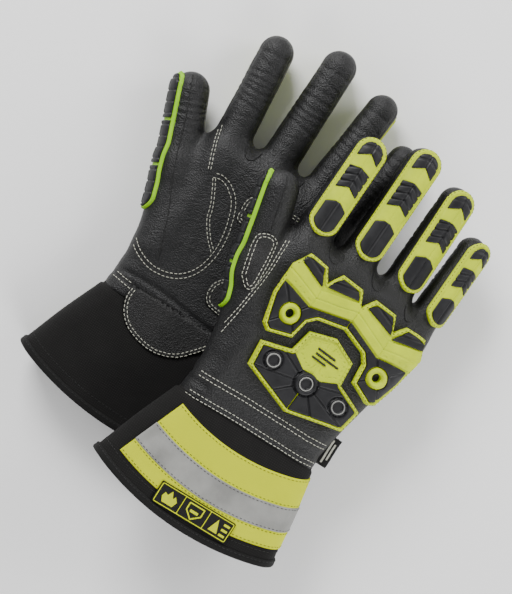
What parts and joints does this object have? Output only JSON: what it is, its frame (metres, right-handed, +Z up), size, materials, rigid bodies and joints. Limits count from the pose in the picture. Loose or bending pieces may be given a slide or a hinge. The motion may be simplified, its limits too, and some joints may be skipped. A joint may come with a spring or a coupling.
{
  "type": "work gloves",
  "caption": "Pair of insulated black leather gauntlet work gloves with fluorescent rubber impact guards and reflective cuffs, laid one on the other.",
  "frame": {"origin": "on the ground, under the flat field of the lower (left) glove's back guard, on which the pair rests", "axes": "+Y from the cuffs to the fingertips, +X towards the little finger of the upper (right) glove, +Z up, away from the ground"},
  "size_m": [0.247, 0.324, 0.0848],
  "materials": {
    "leather": "smooth grain goatskin, dyed black",
    "palm_leather": "grain leather patches, dyed black",
    "cuff_fabric": "tight woven black cloth",
    "liner_fabric": "brushed dark lining",
    "binding_fabric": "folded black binding",
    "yellow_tape": "fluorescent yellow woven tape",
    "silver_tape": "retroreflective silver tape",
    "printed_patch": "heat-pressed patch with yellow marks",
    "woven_label": "woven satin label",
    "yellow_rubber": "matte fluorescent moulded rubber"
  },
  "bodies": {
    "left_glove": {"left_hand_shell": "leather", "left_palm_patches": "palm_leather", "left_cuff": "cuff_fabric", "left_liner": "liner_fabric", "left_cuff_binding": "binding_fabric", "left_hivis_tape": "yellow_tape", "left_reflective_stripe": "silver_tape", "left_rating_patch": "printed_patch", "left_side_label": "woven_label", "left_knuckle_guard": "yellow_rubber", "left_back_guard": "yellow_rubber"},
    "right_glove": {"right_hand_shell": "leather", "right_palm_patches": "palm_leather", "right_cuff": "cuff_fabric", "right_liner": "liner_fabric", "right_cuff_binding": "binding_fabric", "right_hivis_tape": "yellow_tape", "right_reflective_stripe": "silver_tape", "right_rating_patch": "printed_patch", "right_side_label": "woven_label", "right_knuckle_guard": "yellow_rubber", "right_back_guard": "yellow_rubber"},
    "right_index_lower": {"right_index_base": "leather", "right_index_base_guard": "yellow_rubber"},
    "right_index_upper": {"right_index_tip": "leather", "right_index_tip_guard": "yellow_rubber"},
    "right_middle_lower": {"right_middle_base": "leather", "right_middle_base_guard": "yellow_rubber"},
    "right_middle_upper": {"right_middle_tip": "leather", "right_middle_tip_guard": "yellow_rubber"},
    "right_ring_lower": {"right_ring_base": "leather", "right_ring_base_guard": "yellow_rubber"},
    "right_ring_upper": {"right_ring_tip": "leather", "right_ring_tip_guard": "yellow_rubber"},
    "right_little_lower": {"right_little_base": "leather", "right_little_base_guard": "yellow_rubber"},
    "right_little_upper": {"right_little_tip": "leather", "right_little_tip_guard": "yellow_rubber"},
    "right_thumb_lower": {"right_thumb_base": "leather"},
    "right_thumb_upper": {"right_thumb_tip": "leather", "right_thumb_guard": "yellow_rubber"},
    "left_index_lower": {"left_index_base": "leather", "left_index_base_guard": "yellow_rubber"},
    "left_index_upper": {"left_index_tip": "leather", "left_index_tip_guard": "yellow_rubber"},
    "left_middle_lower": {"left_middle_base": "leather", "left_middle_base_guard": "yellow_rubber"},
    "left_middle_upper": {"left_middle_tip": "leather", "left_middle_tip_guard": "yellow_rubber"},
    "left_ring_lower": {"left_ring_base": "leather", "left_ring_base_guard": "yellow_rubber"},
    "left_ring_upper": {"left_ring_tip": "leather", "left_ring_tip_guard": "yellow_rubber"},
    "left_little_lower": {"left_little_base": "leather", "left_little_base_guard": "yellow_rubber"},
    "left_little_upper": {"left_little_tip": "leather", "left_little_tip_guard": "yellow_rubber"},
    "left_thumb_lower": {"left_thumb_base": "leather"},
    "left_thumb_upper": {"left_thumb_tip": "leather", "left_thumb_guard": "yellow_rubber"}
  },
  "joints": [
    {"name": "right_glove_lift", "type": "slide", "parent": "left_glove", "child": "right_glove", "axis": [0, 0, 1], "range_m": [0, 0.25]},
    {"name": "right_index_knuckle", "type": "hinge", "parent": "right_glove", "child": "right_index_lower", "pos_m": [0.03376, 0.059, 0.05908], "axis": [-0.9656, 0.0262, 0.2587], "range_deg": [-10, 15]},
    {"name": "right_index_bend", "type": "hinge", "parent": "right_index_lower", "child": "right_index_upper", "pos_m": [0.0346, 0.09199, 0.05885], "axis": [-0.9656, 0.0262, 0.2587], "range_deg": [-8, 28]},
    {"name": "right_middle_knuckle", "type": "hinge", "parent": "right_glove", "child": "right_middle_lower", "pos_m": [0.06709, 0.062, 0.05015], "axis": [-0.9656, 0.0262, 0.2587], "range_deg": [-10, 5]},
    {"name": "right_middle_bend", "type": "hinge", "parent": "right_middle_lower", "child": "right_middle_upper", "pos_m": [0.06799, 0.09799, 0.0499], "axis": [-0.9656, 0.0262, 0.2587], "range_deg": [-8, 12]},
    {"name": "right_ring_knuckle", "type": "hinge", "parent": "right_glove", "child": "right_ring_lower", "pos_m": [0.09944, 0.06, 0.04148], "axis": [-0.9658, 0.0175, 0.2588], "range_deg": [-12, 80]},
    {"name": "right_ring_bend", "type": "hinge", "parent": "right_ring_lower", "child": "right_ring_upper", "pos_m": [0.10002, 0.09399, 0.04132], "axis": [-0.9658, 0.0175, 0.2588], "range_deg": [-8, 85]},
    {"name": "right_little_knuckle", "type": "hinge", "parent": "right_glove", "child": "right_little_lower", "pos_m": [0.12504, 0.051, 0.03462], "axis": [-0.9646, 0.0523, 0.2585], "range_deg": [-12, 80]},
    {"name": "right_little_bend", "type": "hinge", "parent": "right_little_lower", "child": "right_little_upper", "pos_m": [0.12646, 0.07896, 0.03424], "axis": [-0.9646, 0.0523, 0.2585], "range_deg": [-8, 85]},
    {"name": "right_thumb_knuckle", "type": "hinge", "parent": "right_glove", "child": "right_thumb_lower", "pos_m": [0.01058, 0.032, 0.06529], "axis": [-0.8428, -0.183, -0.5062], "range_deg": [-12, 6]},
    {"name": "right_thumb_bend", "type": "hinge", "parent": "right_thumb_lower", "child": "right_thumb_upper", "pos_m": [0.00433, 0.05615, 0.06696], "axis": [-0.8428, -0.183, -0.5062], "range_deg": [-8, 28]},
    {"name": "left_index_knuckle", "type": "hinge", "parent": "left_glove", "child": "left_index_lower", "pos_m": [-0.0465, 0.087, 0.0213], "axis": [0.9954, 0.0958, 0], "range_deg": [-10, 80]},
    {"name": "left_index_bend", "type": "hinge", "parent": "left_index_lower", "child": "left_index_upper", "pos_m": [-0.04966, 0.11985, 0.0213], "axis": [0.9954, 0.0958, 0], "range_deg": [-8, 85]},
    {"name": "left_middle_knuckle", "type": "hinge", "parent": "left_glove", "child": "left_middle_lower", "pos_m": [-0.012, 0.09, 0.0213], "axis": [1, 0, 0], "range_deg": [-10, 80]},
    {"name": "left_middle_bend", "type": "hinge", "parent": "left_middle_lower", "child": "left_middle_upper", "pos_m": [-0.012, 0.126, 0.0213], "axis": [1, 0, 0], "range_deg": [-8, 85]},
    {"name": "left_ring_knuckle", "type": "hinge", "parent": "left_glove", "child": "left_ring_lower", "pos_m": [0.0215, 0.088, 0.0213], "axis": [0.9962, -0.0872, 0], "range_deg": [-12, 18]},
    {"name": "left_ring_bend", "type": "hinge", "parent": "left_ring_lower", "child": "left_ring_upper", "pos_m": [0.02446, 0.12187, 0.0213], "axis": [0.9962, -0.0872, 0], "range_deg": [-8, 40]},
    {"name": "left_little_knuckle", "type": "hinge", "parent": "left_glove", "child": "left_little_lower", "pos_m": [0.048, 0.079, 0.0213], "axis": [0.9877, -0.1564, 0], "range_deg": [-12, 8]},
    {"name": "left_little_bend", "type": "hinge", "parent": "left_little_lower", "child": "left_little_upper", "pos_m": [0.05238, 0.10665, 0.0213], "axis": [0.9877, -0.1564, 0], "range_deg": [-8, 15]},
    {"name": "left_thumb_knuckle", "type": "hinge", "parent": "left_glove", "child": "left_thumb_lower", "pos_m": [-0.0705, 0.06, 0.0213], "axis": [0.6509, 0.2763, -0.7071], "range_deg": [-12, 12]},
    {"name": "left_thumb_bend", "type": "hinge", "parent": "left_thumb_lower", "child": "left_thumb_upper", "pos_m": [-0.08027, 0.08301, 0.0213], "axis": [0.6509, 0.2763, -0.7071], "range_deg": [-8, 32]}
  ]
}
